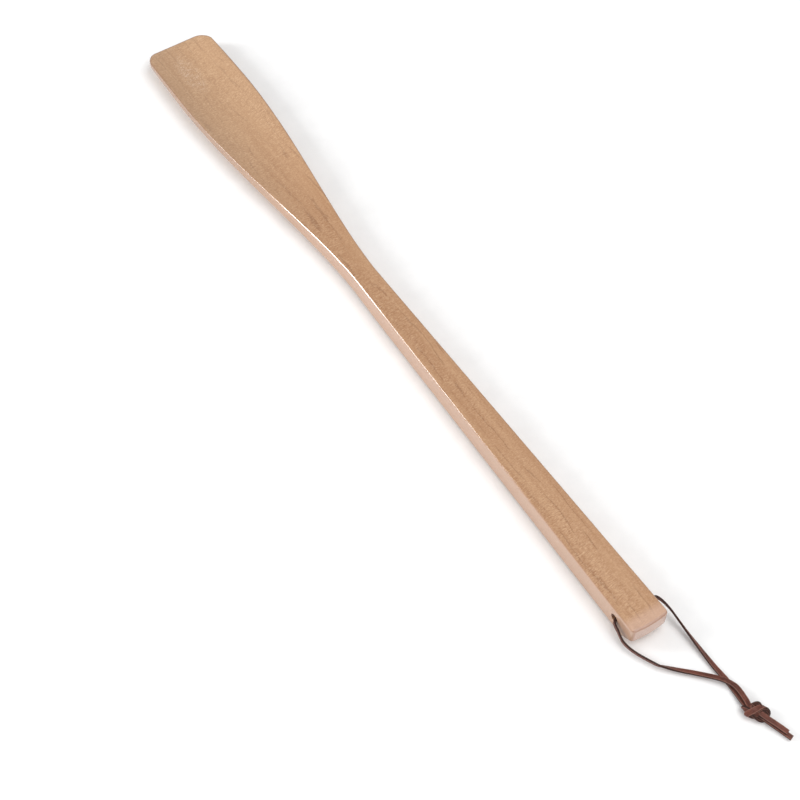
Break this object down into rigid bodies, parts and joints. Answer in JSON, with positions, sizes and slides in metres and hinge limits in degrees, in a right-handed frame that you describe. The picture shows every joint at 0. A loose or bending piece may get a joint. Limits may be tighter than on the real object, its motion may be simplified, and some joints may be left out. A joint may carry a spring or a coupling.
{
  "type": "long shoehorn",
  "caption": "Long wooden shoehorn with a square-edged handle, a scooped blade and a flat leather lace knotted into a hanging loop.",
  "frame": {"origin": "on the flat back of the handle, straight below the middle of the lace hole", "axes": "+X along the horn towards the blade tip, +Z out of the scooped front of the blade, so the horn rests on its back on the XY plane"},
  "size_m": [0.5899, 0.051, 0.0152],
  "materials": {
    "horn_wood": "pale close-grained hardwood under a thin satin clear coat",
    "lace_leather": "flat cut brown leather lace, waxed face and darker cut edges"
  },
  "bodies": {
    "horn": {"horn_body": "horn_wood"},
    "lace": {"lace_loop": "lace_leather"},
    "knot": {"lace_knot": "lace_leather"},
    "tail_upper": {"lace_tail_upper": "lace_leather"},
    "tail_lower": {"lace_tail_lower": "lace_leather"}
  },
  "joints": [
    {"name": "lace_swing", "type": "hinge", "parent": "horn", "child": "lace", "pos_m": [0, 0, 0.0076], "axis": [0, 1, 0], "range_deg": [-120, 150]},
    {"name": "knot_bend", "type": "hinge", "parent": "lace", "child": "knot", "pos_m": [-0.075, -0.0184, 0.0026], "axis": [0, 1, 0], "range_deg": [-60, 60], "stiffness_Nm_per_rad": 0.0002},
    {"name": "tail_upper_bend", "type": "hinge", "parent": "knot", "child": "tail_upper", "pos_m": [-0.0869, -0.021, 0.00275], "axis": [-0.28, 0.96, 0], "range_deg": [0, 60], "stiffness_Nm_per_rad": 0.0002},
    {"name": "tail_lower_bend", "type": "hinge", "parent": "knot", "child": "tail_lower", "pos_m": [-0.0869, -0.021, 0.00275], "axis": [-0.28, 0.96, 0], "range_deg": [-60, 0], "stiffness_Nm_per_rad": 0.0002}
  ]
}
